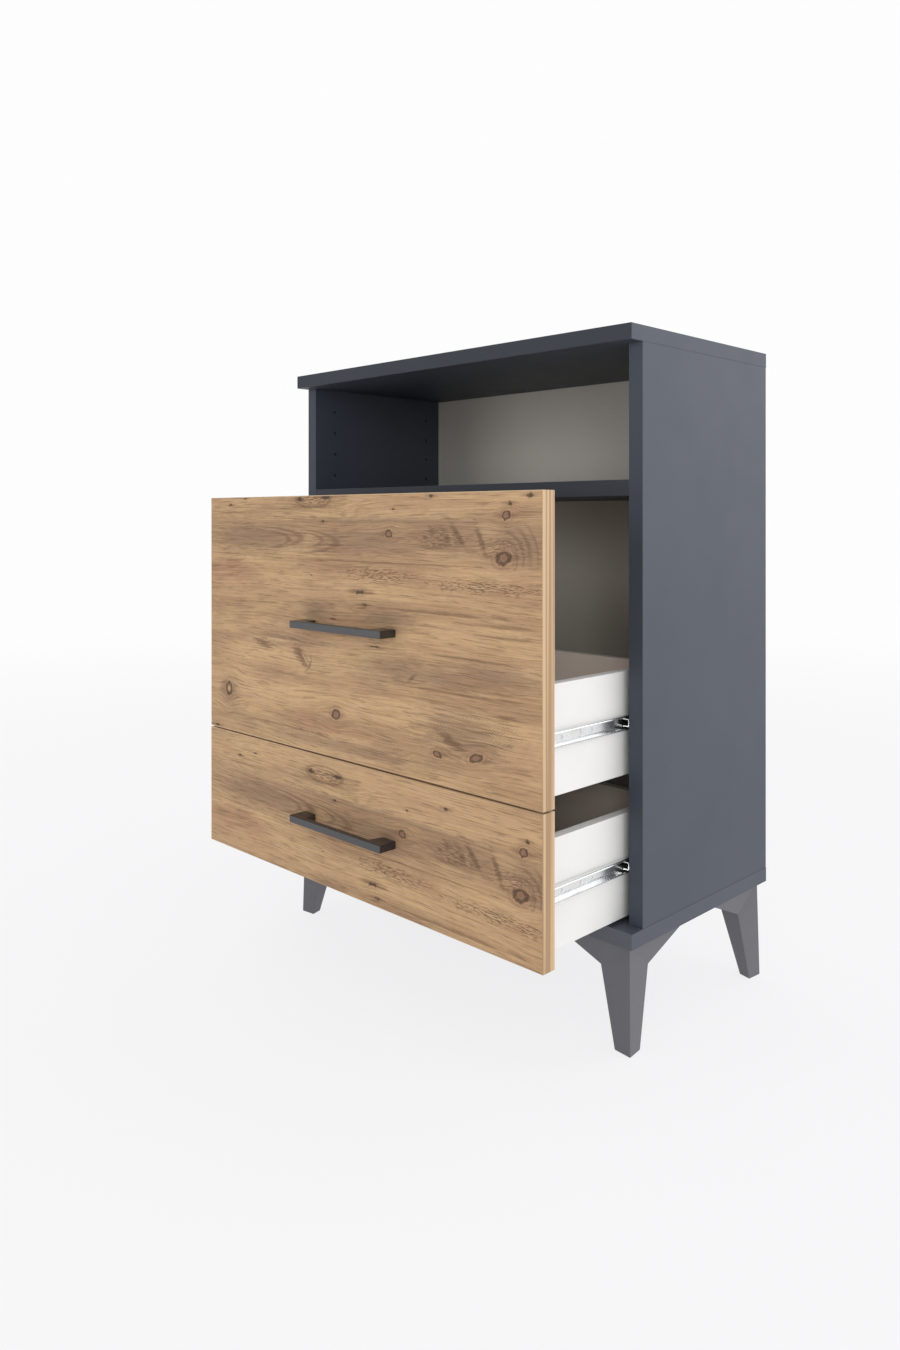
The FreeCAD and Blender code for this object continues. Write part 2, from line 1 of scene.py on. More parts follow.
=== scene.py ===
import bpy
import bmesh
import json
import math
from mathutils import Matrix, Vector


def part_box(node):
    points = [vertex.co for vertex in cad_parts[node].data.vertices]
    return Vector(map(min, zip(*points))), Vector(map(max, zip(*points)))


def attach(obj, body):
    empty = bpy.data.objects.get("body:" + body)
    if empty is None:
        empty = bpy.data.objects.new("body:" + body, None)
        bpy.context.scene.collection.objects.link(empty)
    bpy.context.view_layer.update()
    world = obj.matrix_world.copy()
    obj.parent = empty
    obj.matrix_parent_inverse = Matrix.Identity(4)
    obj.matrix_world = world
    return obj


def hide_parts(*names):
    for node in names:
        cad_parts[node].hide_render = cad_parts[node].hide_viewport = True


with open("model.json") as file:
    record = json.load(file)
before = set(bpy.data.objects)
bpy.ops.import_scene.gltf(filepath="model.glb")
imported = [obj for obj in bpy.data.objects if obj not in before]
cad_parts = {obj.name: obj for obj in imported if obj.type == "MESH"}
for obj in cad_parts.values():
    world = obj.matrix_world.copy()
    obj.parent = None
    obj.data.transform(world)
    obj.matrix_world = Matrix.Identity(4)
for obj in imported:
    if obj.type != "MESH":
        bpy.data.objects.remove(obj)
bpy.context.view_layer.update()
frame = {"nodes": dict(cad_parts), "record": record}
nodes = frame["nodes"]
scene = bpy.context.scene
mm = 0.001
print("frame loaded,", len(nodes), "nodes")


class Wire:
    # a shader socket that takes part in Python arithmetic
    def __init__(self, tree, socket=None):
        self.tree = tree
        self.socket = socket

    def node(self, kind, settings=None, inputs=None, out=0):
        made = self.tree.nodes.new("ShaderNode" + kind)
        for name, value in (settings or {}).items():
            setattr(made, name, value)
        for name, value in (inputs or {}).items():
            if isinstance(value, Wire):
                self.tree.links.new(value.socket, made.inputs[name])
            else:
                made.inputs[name].default_value = value
        return Wire(self.tree, made.outputs[out] if made.outputs else None)

    def math(self, operation, first, *others):
        return self.node("Math", {"operation": operation}, dict(enumerate((first,) + others)))

    def __add__(self, other):
        return self.math("ADD", self, other)

    def __radd__(self, other):
        return self.math("ADD", other, self)

    def __sub__(self, other):
        return self.math("SUBTRACT", self, other)

    def __rsub__(self, other):
        return self.math("SUBTRACT", other, self)

    def __mul__(self, other):
        return self.math("MULTIPLY", self, other)

    def __truediv__(self, other):
        return self.math("DIVIDE", self, other)

    def __abs__(self):
        return self.math("ABSOLUTE", self)

    def highest(self, other):
        return self.math("MAXIMUM", self, other)

    def lowest(self, other):
        return self.math("MINIMUM", self, other)

    def root(self):
        return self.math("SQRT", self)

    def exp(self):
        return self.math("EXPONENT", self)

    def wave(self):
        return self.math("SINE", self)

    def step(self, low, high):
        # 0 below low, 1 above high, smooth between
        return self.node("MapRange", {"interpolation_type": "SMOOTHSTEP"},
                         {"Value": self, "From Min": low, "From Max": high})

    def tint(self, low, high):
        # a colour between two, by this value
        return self.node("Mix", {"data_type": "RGBA", "clamp_factor": True},
                         {0: self, 6: low, 7: high}, out=2)

    def axes(self):
        return [self.node("SeparateXYZ", inputs={0: self}, out=axis) for axis in "XYZ"]

    def point(self, x, y, z=0.0):
        return self.node("CombineXYZ", inputs={"X": x, "Y": y, "Z": z})

    def noise(self, scale, detail=2.0, roughness=0.5, dimensions="3D"):
        return self.node("TexNoise", {"noise_dimensions": dimensions}, {
            "Vector": self, "Scale": scale, "Detail": detail, "Roughness": roughness})

    def flatNoise(self, scale, detail=2.0, roughness=0.5):
        return self.noise(scale, detail, roughness, "2D")

    def bump(self, depth, strength):
        return self.node("Bump", inputs={"Height": self, "Distance": depth, "Strength": strength})


def rgb(red, green, blue):
    return (red, green, blue, 1.0)


def newMaterial(name):
    material = bpy.data.materials.new(name)
    material.use_nodes = True
    material.node_tree.nodes.clear()
    return material, Wire(material.node_tree)


def finishMaterial(wire, sockets):
    surface = wire.node("BsdfPrincipled", inputs=sockets)
    wire.node("OutputMaterial", inputs={"Surface": surface})


def restPlace(wire):
    # metres in the frame of the part at rest, which ride along with the piece
    return wire.node("TexCoord", out="Object")


cloudFade = (0.3, 0.7)  # where the cloud in a finish starts to show, and where it shows fully

# Boards with a printed paper face: a fine stipple, a faint cloud and a few specks
paperPrint = {
    "speckFade": (0.62, 0.75), "stippleGloss": 0.06, "stippleStrength": 0.5,
    "lippingFade": (0.6, 0.9),  # by how squarely a face looks to the front
    # the joint keys paint a shadow line in the gap where side and bottom meet: its fade, how far inside the
    # outer faces, and its share
    "jointLine": (0.3, 0.9), "jointInside": (-1.5 * mm, -0.8 * mm), "jointShadowShare": 0.75,
}
anthraciteLook = {
    "low": rgb(0.035, 0.044, 0.064), "high": rgb(0.039, 0.048, 0.070), "speck": rgb(0.057, 0.068, 0.092),
    "speckShare": 0.35, "speckScale": 1400.0, "cloudScale": 7.0, "sheenScale": 24.0,
    "stippleScale": 1900.0, "stippleDepth": 0.00006, "roughness": 0.54, "roughnessSpread": 0.08, "ior": 1.6,
    "jointLevel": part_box("bottom_panel")[1].z, "jointOutside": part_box("bottom_panel")[1].x,
    # a painted shadow colour for the joint gap, and a front-edge tone darker than the face as painted shade
    "joint": rgb(0.006, 0.007, 0.01), "lippingShading": rgb(0.031, 0.040, 0.058), "lippingMatt": 0.14,
}
shadedTopLook = dict(anthraciteLook, lippingShading=rgb(0.021, 0.027, 0.039), lippingMatt=0.2)  # top panel and shelf: front edges darker still, as painted shade
# the bottom panel is a lighter copy as painted light, with front edges lighter than its face as painted
# light
litBottomLook = dict(anthraciteLook, low=rgb(0.043, 0.052, 0.072), high=rgb(0.048, 0.057, 0.079),
                  lippingShading=rgb(0.060, 0.068, 0.086), lippingMatt=0.0)
whiteLook = {
    "low": rgb(0.74, 0.73, 0.715), "high": rgb(0.77, 0.76, 0.745), "speck": rgb(0.69, 0.68, 0.665),
    "speckShare": 0.2, "speckScale": 1100.0, "cloudScale": 9.0, "sheenScale": 30.0,
    "stippleScale": 1700.0, "stippleDepth": 0.00005, "roughness": 0.42, "roughnessSpread": 0.08, "ior": 1.5,
}
creamLook = dict(whiteLook, low=rgb(0.72, 0.65, 0.59), high=rgb(0.75, 0.68, 0.62),
                 speck=rgb(0.66, 0.60, 0.54))  # backs and bottoms of the drawers


def meltedPaper(name, look):
    paper = paperPrint
    material, wire = newMaterial(name)
    at = restPlace(wire)
    stipple = at.noise(look["stippleScale"], detail=2.0)
    cloud = at.noise(look["cloudScale"], detail=3.0)
    sheen = at.noise(look["sheenScale"], detail=4.0)
    speck = at.noise(look["speckScale"], detail=1.0).step(*paper["speckFade"])
    colour = cloud.step(*cloudFade).tint(look["low"], look["high"])
    colour = (speck * look["speckShare"]).tint(colour, look["speck"])
    roughness = look["roughness"] + (sheen - 0.5) * look["roughnessSpread"]
    roughness = roughness + (stipple - 0.5) * paper["stippleGloss"]
    if "lippingShading" in look:
        # the front edges have a matt lipping whose tone is painted shade, and painted light on the bottom
        # panel
        forward = 0.0 - wire.node("TexCoord", out="Normal").axes()[1]
        front = forward.step(*paper["lippingFade"])
        colour = front.tint(colour, look["lippingShading"])
        roughness = roughness + front * look["lippingMatt"]
    if "jointLevel" in look:
        # a thin painted shadow in the joint gap between side and bottom, on the outer faces
        x, y, z = at.axes()
        line = 1.0 - (abs(z - look["jointLevel"]) / mm).step(*paper["jointLine"])
        outside = (abs(x) - look["jointOutside"]).step(*paper["jointInside"])
        colour = (line * outside * paper["jointShadowShare"]).tint(colour, look["joint"])
    finishMaterial(wire, {
        "Base Color": colour,
        "Roughness": roughness,
        "IOR": look["ior"],
        "Normal": stipple.bump(look["stippleDepth"], paper["stippleStrength"]),
    })
    return material


# Thin hardboard with a lacquered face, fibres showing through
taupeLook = {
    "low": rgb(0.52, 0.49, 0.43), "high": rgb(0.56, 0.53, 0.47), "fibre": rgb(0.48, 0.445, 0.395),
    "fibresAcross": 90.0, "fibresUp": 420.0, "fibreFade": (0.5, 0.8), "fibreShare": 0.3,
    "fibreDepth": 0.00008, "fibreStrength": 0.5, "cloudScale": 5.0,
    "roughness": 0.58, "roughnessSpread": 0.16,
}


def lacqueredHardboard(name, look):
    material, wire = newMaterial(name)
    at = restPlace(wire)
    x, y, z = at.axes()
    across = look["fibresAcross"]
    fibre = wire.point(x * across, y * across, z * look["fibresUp"]).noise(1.0, detail=3.0)
    cloud = at.noise(look["cloudScale"], detail=3.0)
    colour = cloud.step(*cloudFade).tint(look["low"], look["high"])
    colour = (fibre.step(*look["fibreFade"]) * look["fibreShare"]).tint(colour, look["fibre"])
    finishMaterial(wire, {
        "Base Color": colour,
        "Roughness": look["roughness"] + (fibre - 0.5) * look["roughnessSpread"],
        "Normal": fibre.bump(look["fibreDepth"], look["fibreStrength"]),
    })
    return material


# Rustic pine print for the drawer fronts. Places are in millimetres on the print:
# sideways from its middle, and down from its top edge.
pinePrint = {
    "light": rgb(0.55, 0.357, 0.194), "middle": rgb(0.425, 0.264, 0.143), "deep": rgb(0.145, 0.079, 0.043),
    "pale": rgb(0.645, 0.438, 0.24), "grey": rgb(0.215, 0.142, 0.096), "warm": rgb(0.40, 0.215, 0.125),
    "bark": rgb(0.065, 0.036, 0.02), "heart": rgb(0.25, 0.145, 0.09), "honey": rgb(0.63, 0.42, 0.218),
    "planks": [  # where each starts, change of tone
        (31, 0.28), (76, -0.18), (126, 0.05), (170, -0.10), (232, -0.12), (286, 0.10),
    ],
    "knots": [  # sideways, down, half length, half height, tilt in degrees
        (72, 45.6, 5.5, 4.2, 0), (247, 68.8, 9.5, 6.5, -8), (251, 25.2, 5.5, 4.2, -28),
        (-254, 259, 7, 8.5, 12), (-23, 263.6, 7.5, 5.5, -14), (151, 283, 6, 3.4, 8), (209, 278, 9, 4, -16),
    ],
    "specks": [  # sideways, down, half length, half height
        (256, 13, 3.6, 2.8), (283, 5, 4.2, 3), (141, 3.4, 3.8, 3), (80, 17.6, 2.6, 1.6),
        (-48, 31.6, 2.8, 1.6), (-250, 10.4, 5.5, 2.2), (31, 128.8, 6.5, 2.2), (21, 115, 10, 2.6),
        (-28, 149.6, 6, 1.2), (-283, 313, 6, 2.2), (48, 176, 9, 1.2), (-71, 98, 1.6, 1.0),
        (-170, 184, 12, 0.8), (-216, 2, 5, 1.4), (-95, 4, 6, 3.6), (-44, 2.6, 10, 2.6),
    ],
    "strokes": [  # dark strokes across the grain: sideways, down, half length, half height, tilt
        (-92, 200, 27, 8.5, 43), (216, 52, 21, 4.2, 64), (182, 46, 20, 4.4, 50), (173, 266, 20, 7, 20),
        (-172, 191, 22, 7, 10), (111, 205, 10, 3, -32),
    ],
    "arcs": [  # swung grain: sideways, down, radius, half width, direction, half spread, flatness
        (247, 69, 27, 2.4, -35, 60, 1.0), (247, 69, 19, 1.4, -30, 75, 1.0),
        (247, 69, 36, 3.0, -25, 45, 1.0), (247, 69, 46, 2.0, -20, 40, 1.0),
        (-94, 200, 22, 1.6, 30, 50, 1.0), (-190, 53, 97, 9.0, 0, 80, 7.0),
        (-170, 55, 52, 6.0, 0, 80, 5.0), (-122, 57, 99, 9.0, 0, 80, 6.5),
        (-110, 55, 60, 6.0, 0, 70, 6.0), (-68, 4.5, 34, 5.0, 0, 100, 3.4),
        (-68, 4.5, 34, 5.0, 180, 100, 3.4), (-66, 4.5, 22, 4.0, 0, 100, 4.0),
    ],
    "veins": [  # dark lines, mostly along the grain: sideways, down, half length, half height, tilt if any
        (-30, 60, 34, 2), (21, 113, 24, 4), (253, 231, 26, 3.4), (150, 131, 130, 2), (240, 139, 66, 2.4),
        (250, 150, 56, 2), (200, 176, 100, 2), (-240, 76, 46, 1.4), (-170, 137, 28, 1.6), (-70, 14, 50, 3),
        (-230, 20, 60, 1.4), (60, 79, 200, 1.2), (-140, 292, 140, 1.6), (190, 215, 90, 1.8),
        (164, 47, 16, 4.2, 52), (146, 46, 13, 3.6, 48),
    ],
    "greyPatchesAndHandleShade": [  # grey patches: sideways, down, half length, half height; the two at the handle feet, (-60, 142) and (72, 143), are painted shade of the handles
        (-190, 52, 130, 22), (20, 55, 120, 18), (160, 48, 86, 20), (262, 56, 54, 28), (-60, 142, 36, 12),
        (72, 143, 46, 13), (185, 258, 66, 26), (-130, 182, 90, 9), (-254, 266, 24, 20), (120, 200, 120, 14),
        (230, 190, 80, 12), (60, 31, 220, 5), (-20, 300, 180, 8),
    ],
    "blushes": [  # warm patches: sideways, down, half length, half height
        (-255, 98, 64, 24), (-108, 48, 28, 10), (-10, 66, 60, 8), (60, 92, 60, 8), (-60, 285, 70, 12),
    ],
    "sawn": [  # patches torn by the saw: sideways, down, half length, half height
        (55, 94, 80, 11), (225, 100, 120, 9), (160, 50, 44, 12), (-70, 6, 44, 9), (245, 58, 44, 14),
    ],
    "hatched": [(190, 254, 84, 28)],  # a patch with slanted saw lines
    "bare": [  # pale wood inside dark marks
        (-254, 260, 3.4, 5), (-84, 203, 12, 1.6, 46), (-150, 184, 60, 2.0),
    ],
    "edges": {  # how ragged each kind of patch is, and where its edge starts and ends in half lengths
        "greyPatchesAndHandleShade": (1.0, 0.15, 1.35), "blushes": (1.0, 0.2, 1.2), "strokes": (0.6, 0.25, 1.25),
        "veins": (0.8, 0.2, 1.2), "sawn": (0.7, 0.25, 1.15), "hatched": (0.6, 0.4, 1.15),
        "bare": (0.5, 0.4, 1.2), "tails": (0.5, 0.1, 1.1),
    },
    "grains": {  # noise: how fast it changes along and across the grain per mm, detail, roughness
        "broad": (0.0034, 0.03, 3.0, 0.55), "figure": (0.0042, 0.05, 1.0, 0.5),
        "streak": (0.012, 0.34, 3.0, 0.62), "long": (0.0048, 0.8, 3.0, 0.6), "dash": (0.02, 0.5, 2.0, 0.6),
        "blotch": (0.0065, 0.022, 2.0, 0.55), "fibre": (0.05, 2.1, 2.0, 0.6),
        "ragged": (0.035, 0.26, 3.0, 0.65), "torn": (0.12, 0.78, 2.0, 0.5),
    },
    "layers": [  # what is printed over the ground, first to last: mark, colour, share
        ("honey", "honey", 0.48), ("shade", "warm", 0.22), ("blushes", "warm", 0.6),
        ("paleStreaks", "pale", 0.25), ("greyPatchesAndHandleShade", "grey", 0.52), ("rags", "grey", 0.2),
        ("late", "deep", 0.22), ("streaks", "deep", 0.16), ("longLines", "deep", 0.24),
        ("dashes", "deep", 0.44), ("fibres", "deep", 0.14), ("swing", "deep", 0.46), ("veins", "deep", 0.5),
        ("strokes", "deep", 0.76), ("saw", "deep", 0.78), ("hatch", "deep", 0.68), ("tails", "deep", 0.5),
        ("rings", "deep", 0.34), ("splinters", "pale", 0.25), ("halo", "warm", 0.45),
        ("core", "heart", 0.86), ("heartRings", "deep", 0.4), ("barkEdge", "bark", 0.8),
        ("bare", "pale", 0.6), ("specks", "bark", 0.88),
    ],
    "fades": {  # where each mark starts to show in its noise or shape, and where it shows fully
        "ground": (0.26, 0.76), "honey": (0.46, 0.7), "shade": (0.5, 0.66), "paleStreaks": (0.5, 0.68),
        "rags": (0.52, 0.72), "lateStart": (0.3, 0.88), "lateEnd": (0.9, 1.0), "lateArea": (0.42, 0.62),
        "streaks": (0.5, 0.7), "longLines": (0.53, 0.66), "dashes": (0.60, 0.66), "fibres": (0.48, 0.7),
        "pores": (0.60, 0.67), "saw": (0.50, 0.60), "splinters": (0.36, 0.44), "hatchLines": (-0.4, 0.6),
        "hatchBreaks": (0.34, 0.54), "arcLine": (0.3, 1.2), "core": (0.7, 1.1), "barkInside": (0.5, 0.9),
        "barkOutside": (0.95, 1.3), "heartRings": (0.1, 0.9), "rings": (0.2, 0.9), "ringReach": (1.4, 2.8),
        "specks": (0.4, 1.2),
    },
    "wobble": (0.2, 2.0, 0.6),  # scale per mm, detail, roughness of the small wobble in every outline
    "drift": (0.0045, 0.014, 13.0),  # of the grain: along and across it per mm, height in mm
    "knotReach": 0.11, "knotPush": 0.7,  # how far and how strongly the grain flows round a knot
    "plankEdge": 0.6, "plankJump": 731.0, "plankSway": 2.0, "toneSway": 0.15,
    "raggedness": 2.6, "strokeTear": 1.1, "hatchTilt": 30.0, "hatchPitch": 2.3, "hatchSway": 3.0,
    "arcLift": 1.5, "arcSway": 5.0, "arcEnd": 0.3, "yearRings": 12.0, "yearRingBreak": 0.9,
    "heartRings": 13.0, "knotRings": 8.0, "ringSway": 5.0, "knotSway": 0.9, "knotBreak": 0.5,
    "speckSway": 1.6, "speckBreak": 1.2, "tailLength": 3.6, "tailHeight": 0.9, "haloReach": 0.4,
    "roughness": 0.5, "streakGloss": 0.18, "knotGloss": 0.06, "specular": 0.2,
    "relief": {"fibre": 0.5, "streak": 0.4, "pores": 0.3, "knots": 0.5, "depth": 0.00012, "strength": 0.4},
}


def pineLaminate(name, top, shift, lighter):
    look = pinePrint
    material, wire = newMaterial(name)
    x, y, z = restPlace(wire).axes()
    side = x / mm - shift[0]
    down = (top - z) / mm - shift[1]
    flat = wire.point(side, down)
    wobble = flat.flatNoise(*look["wobble"]) - 0.5
    farAway = 9.0

    def fade(value, kind):
        return value.step(*look["fades"][kind])

    def within(spot):
        # how far a place lies from a spot, in the spot's own half lengths
        tilt = spot[4] if len(spot) > 4 else 0.0
        if tilt:
            local = flat.node("Mapping", {"vector_type": "TEXTURE"}, {
                "Vector": flat, "Location": (spot[0], spot[1], 0.0),
                "Rotation": (0.0, 0.0, math.radians(tilt)), "Scale": (spot[2], spot[3], 1.0)})
        else:
            local = flat.node("VectorMath", {"operation": "MULTIPLY_ADD"}, {
                0: flat, 1: (1.0 / spot[2], 1.0 / spot[3], 0.0),
                2: (-spot[0] / spot[2], -spot[1] / spot[3], 0.0)})
        return local.node("VectorMath", {"operation": "LENGTH"}, {0: local}, out="Value")

    def closest(spots):
        gap = farAway
        for spot in spots:
            gap = within(spot).lowest(gap)
        return gap

    # the grain drifts up and down, and flows round the knots
    driftAlong, driftAcross, driftHeight = look["drift"]
    lift = (wire.point(side * driftAlong, down * driftAcross).flatNoise(1.0, 1.0) - 0.5) * driftHeight
    knotGap = farAway
    for knot in look["knots"]:
        far = within(knot)
        lift = lift + (far * far * -look["knotReach"]).exp() * (down - knot[1]) * look["knotPush"]
        knotGap = far.lowest(knotGap)
    grain = down - lift

    # planks printed one above the other, each with its own run of grain
    tone = wobble * look["toneSway"] - lighter
    sway = wobble * look["plankSway"]
    run = side + sway
    for start, change in look["planks"]:
        past = (down + sway).step(start - look["plankEdge"], start + look["plankEdge"])
        tone = tone + past * change
        run = run + past * look["plankJump"]

    def grainNoise(kind):
        along, across, detail, roughness = look["grains"][kind]
        return wire.point(run * along, grain * across).flatNoise(1.0, detail, roughness)

    broad = grainNoise("broad")
    streak = grainNoise("streak")
    dash = grainNoise("dash")
    blotch = grainNoise("blotch")
    fibre = grainNoise("fibre")
    ragged = grainNoise("ragged")
    torn = grainNoise("torn")
    ring = wire.math("FRACT", grainNoise("figure") * look["yearRings"] + streak * look["yearRingBreak"])
    rough = (ragged - 0.5) * look["raggedness"]

    def patch(kind, spots, tear=0.0):
        raggedShare, solid, gone = look["edges"][kind]
        return 1.0 - (closest(spots) + rough * raggedShare + tear).step(solid, gone)

    sawnArea = patch("sawn", look["sawn"])
    hatchedArea = patch("hatched", look["hatched"])
    slant = math.radians(look["hatchTilt"])
    hatchLine = (side * math.sin(slant) - down * math.cos(slant)) * look["hatchPitch"]
    hatchLine = (hatchLine + streak * look["hatchSway"]).wave()
    swing = 0.0
    for turnX, turnY, radius, halfWidth, towards, spread, flatness in look["arcs"]:
        dx = side - turnX
        dy = (down - turnY + wobble * look["arcLift"]) * flatness
        gap = (dx * dx + dy * dy).root()
        line = 1.0 - fade(abs(gap - radius + wobble * look["arcSway"]) / halfWidth, "arcLine")
        facing = (dx * math.cos(math.radians(towards)) + dy * math.sin(math.radians(towards))) / gap
        end = math.cos(math.radians(spread))
        swing = (line * facing.step(end, end + look["arcEnd"])).highest(swing)

    # knots: a reddish heart, a bark edge, rings round it and dark tails along the grain
    knotEdge = knotGap + wobble * look["knotSway"] + (dash - 0.5) * look["knotBreak"]
    core = 1.0 - fade(knotEdge, "core")
    ringSway = wobble * look["ringSway"]
    heartRings = fade((knotGap * look["heartRings"] + ringSway).wave(), "heartRings") * core
    rings = fade((knotGap * look["knotRings"] + ringSway).wave(), "rings")
    rings = rings * (1.0 - fade(knotGap, "ringReach"))
    tails = [(spot[0], spot[1], spot[2] * look["tailLength"], spot[3] * look["tailHeight"])
             for spot in look["knots"] + look["specks"]]
    speckEdge = closest(look["specks"]) + wobble * look["speckSway"] + (dash - 0.5) * look["speckBreak"]

    marks = {
        "honey": fade(blotch, "honey"), "shade": fade(1.0 - blotch, "shade"),
        "paleStreaks": fade(1.0 - streak, "paleStreaks"), "rags": fade(ragged, "rags"),
        "late": fade(ring, "lateStart") * (1.0 - fade(ring, "lateEnd")) * fade(broad, "lateArea"),
        "streaks": fade(streak, "streaks"), "longLines": fade(grainNoise("long"), "longLines"),
        "dashes": fade(dash, "dashes"), "fibres": fade(fibre, "fibres"), "swing": swing,
        "strokes": patch("strokes", look["strokes"], (torn - 0.5) * look["strokeTear"]),
        "saw": sawnArea * fade(torn, "saw"), "splinters": sawnArea * (1.0 - fade(torn, "splinters")),
        "hatch": hatchedArea * fade(hatchLine, "hatchLines") * fade(dash, "hatchBreaks"),
        "tails": patch("tails", tails), "rings": rings, "core": core, "heartRings": heartRings,
        "halo": (knotGap * knotGap * -look["haloReach"]).exp(),
        "barkEdge": fade(knotEdge, "barkInside") * (1.0 - fade(knotEdge, "barkOutside")),
        "specks": 1.0 - fade(speckEdge, "specks"),
    }
    for kind in ("greyPatchesAndHandleShade", "blushes", "veins", "bare"):
        marks[kind] = patch(kind, look[kind])

    colour = fade(broad + tone, "ground").tint(look["light"], look["middle"])
    for mark, paint, share in look["layers"]:
        colour = (marks[mark] * share).tint(colour, look[paint])
    height = look["relief"]
    relief = fibre * height["fibre"] + streak * height["streak"]
    relief = relief - fade(dash, "pores") * height["pores"] - core * height["knots"]
    finishMaterial(wire, {
        "Base Color": colour,
        "Roughness": look["roughness"] + (streak - 0.5) * look["streakGloss"] + core * look["knotGloss"],
        "Specular IOR Level": look["specular"],
        "Normal": relief.bump(height["depth"], height["strength"]),
    })
    return material


# Edge band of the fronts: a lighter strip whose stripes run lengthwise
pineBandLook = {
    "pale": rgb(0.57, 0.39, 0.222), "line": rgb(0.345, 0.212, 0.112),
    "stripesPerMetre": 260.0, "stripeDrift": 1.2, "stripeFade": (0.46, 0.60),
    "fibresPerMetre": 1500.0, "fibreDrift": 9.0, "fibreFade": (0.5, 0.8), "fibreShare": 0.25,
    "fibreDepth": 0.00005, "fibreStrength": 0.4, "roughness": 0.45, "roughnessSpread": 0.12,
}


def pineEdgeBand(name, look):
    material, wire = newMaterial(name)
    x, y, z = restPlace(wire).axes()

    def lengthwise(perMetre, drift, detail):
        return wire.point(x * drift, y * perMetre, z * drift).noise(1.0, detail)

    stripe = lengthwise(look["stripesPerMetre"], look["stripeDrift"], 1.0)
    fibre = lengthwise(look["fibresPerMetre"], look["fibreDrift"], 2.0)
    colour = stripe.step(*look["stripeFade"]).tint(look["pale"], look["line"])
    colour = (fibre.step(*look["fibreFade"]) * look["fibreShare"]).tint(colour, look["line"])
    finishMaterial(wire, {
        "Base Color": colour,
        "Roughness": look["roughness"] + (fibre - 0.5) * look["roughnessSpread"],
        "Normal": fibre.bump(look["fibreDepth"], look["fibreStrength"]),
    })
    return material


# Moulded plastic of the legs, and the powder coat of the handles
legLook = {
    "low": rgb(0.087, 0.087, 0.101), "high": rgb(0.097, 0.097, 0.111), "cloudScale": 14.0,
    "pebbleScale": 900.0, "pebbleDepth": 0.00008, "roughness": 0.44, "ior": 1.62,
}
handleLook = {
    "low": rgb(0.008, 0.0085, 0.011), "high": rgb(0.011, 0.0115, 0.0145), "cloudScale": 40.0,
    "pebbleScale": 1300.0, "pebbleDepth": 0.00004, "roughness": 0.25, "ior": 1.78,
}
pebbles = {"gloss": 0.12, "strength": 0.6}  # the same on both


def grainedCoat(name, look):
    material, wire = newMaterial(name)
    at = restPlace(wire)
    pebble = at.noise(look["pebbleScale"], detail=2.0)
    cloud = at.noise(look["cloudScale"], detail=3.0)
    finishMaterial(wire, {
        "Base Color": cloud.step(*cloudFade).tint(look["low"], look["high"]),
        "Roughness": look["roughness"] + (pebble - 0.5) * pebbles["gloss"],
        "IOR": look["ior"],
        "Normal": pebble.bump(look["pebbleDepth"], pebbles["strength"]),
    })
    return material


# Zinc-plated and plain steel: fine drawn lines along the piece, with a cloudy plating
zincLook = {
    "low": rgb(0.77, 0.785, 0.78), "high": rgb(0.82, 0.83, 0.825), "platingScale": 160.0, "roughness": 0.24,
}
cageLook = {
    "low": rgb(0.46, 0.47, 0.47), "high": rgb(0.58, 0.58, 0.57), "platingScale": 220.0, "roughness": 0.36,
}
ballLook = {
    "low": rgb(0.80, 0.80, 0.80), "high": rgb(0.86, 0.86, 0.86), "platingScale": 700.0, "roughness": 0.12,
}
screwLook = {
    "low": rgb(0.60, 0.58, 0.53), "high": rgb(0.72, 0.70, 0.64), "platingScale": 420.0, "roughness": 0.30,
}
drawnLines = {  # the same on all of them
    "across": 1600.0, "along": 14.0, "gloss": 0.06, "depth": 0.00003, "strength": 0.3,
    "platingFade": (0.35, 0.65), "platingGloss": 0.08,
}


def drawnSteel(name, look):
    lines = drawnLines
    material, wire = newMaterial(name)
    at = restPlace(wire)
    x, y, z = at.axes()
    drawn = wire.point(x * lines["across"], y * lines["along"], z * lines["across"]).noise(1.0, detail=2.0)
    plating = at.noise(look["platingScale"], detail=3.0, roughness=0.6)
    gloss = (plating - 0.5) * lines["platingGloss"] + (drawn - 0.5) * lines["gloss"]
    finishMaterial(wire, {
        "Base Color": plating.step(*lines["platingFade"]).tint(look["low"], look["high"]),
        "Metallic": 1.0,
        "Roughness": look["roughness"] + gloss,
        "Normal": drawn.bump(lines["depth"], lines["strength"]),
    })
    return material


# Beech dowels
beechLook = {
    "low": rgb(0.50, 0.33, 0.19), "high": rgb(0.60, 0.42, 0.26), "fleck": rgb(0.36, 0.22, 0.12),
    "grainScale": 260.0, "flecksAcross": 900.0, "flecksUp": 200.0, "fleckFade": (0.6, 0.7),
    "fleckShare": 0.4, "roughness": 0.6, "roughnessSpread": 0.2,
}


def beechPeg(name, look):
    material, wire = newMaterial(name)
    at = restPlace(wire)
    x, y, z = at.axes()
    across = look["flecksAcross"]
    grain = at.noise(look["grainScale"], detail=3.0)
    fleck = wire.point(x * across, y * across, z * look["flecksUp"]).noise(1.0, detail=1.0)
    colour = grain.step(*cloudFade).tint(look["low"], look["high"])
    colour = (fleck.step(*look["fleckFade"]) * look["fleckShare"]).tint(colour, look["fleck"])
    finishMaterial(wire, {
        "Base Color": colour,
        "Roughness": look["roughness"] + (grain - 0.5) * look["roughnessSpread"],
    })
    return material


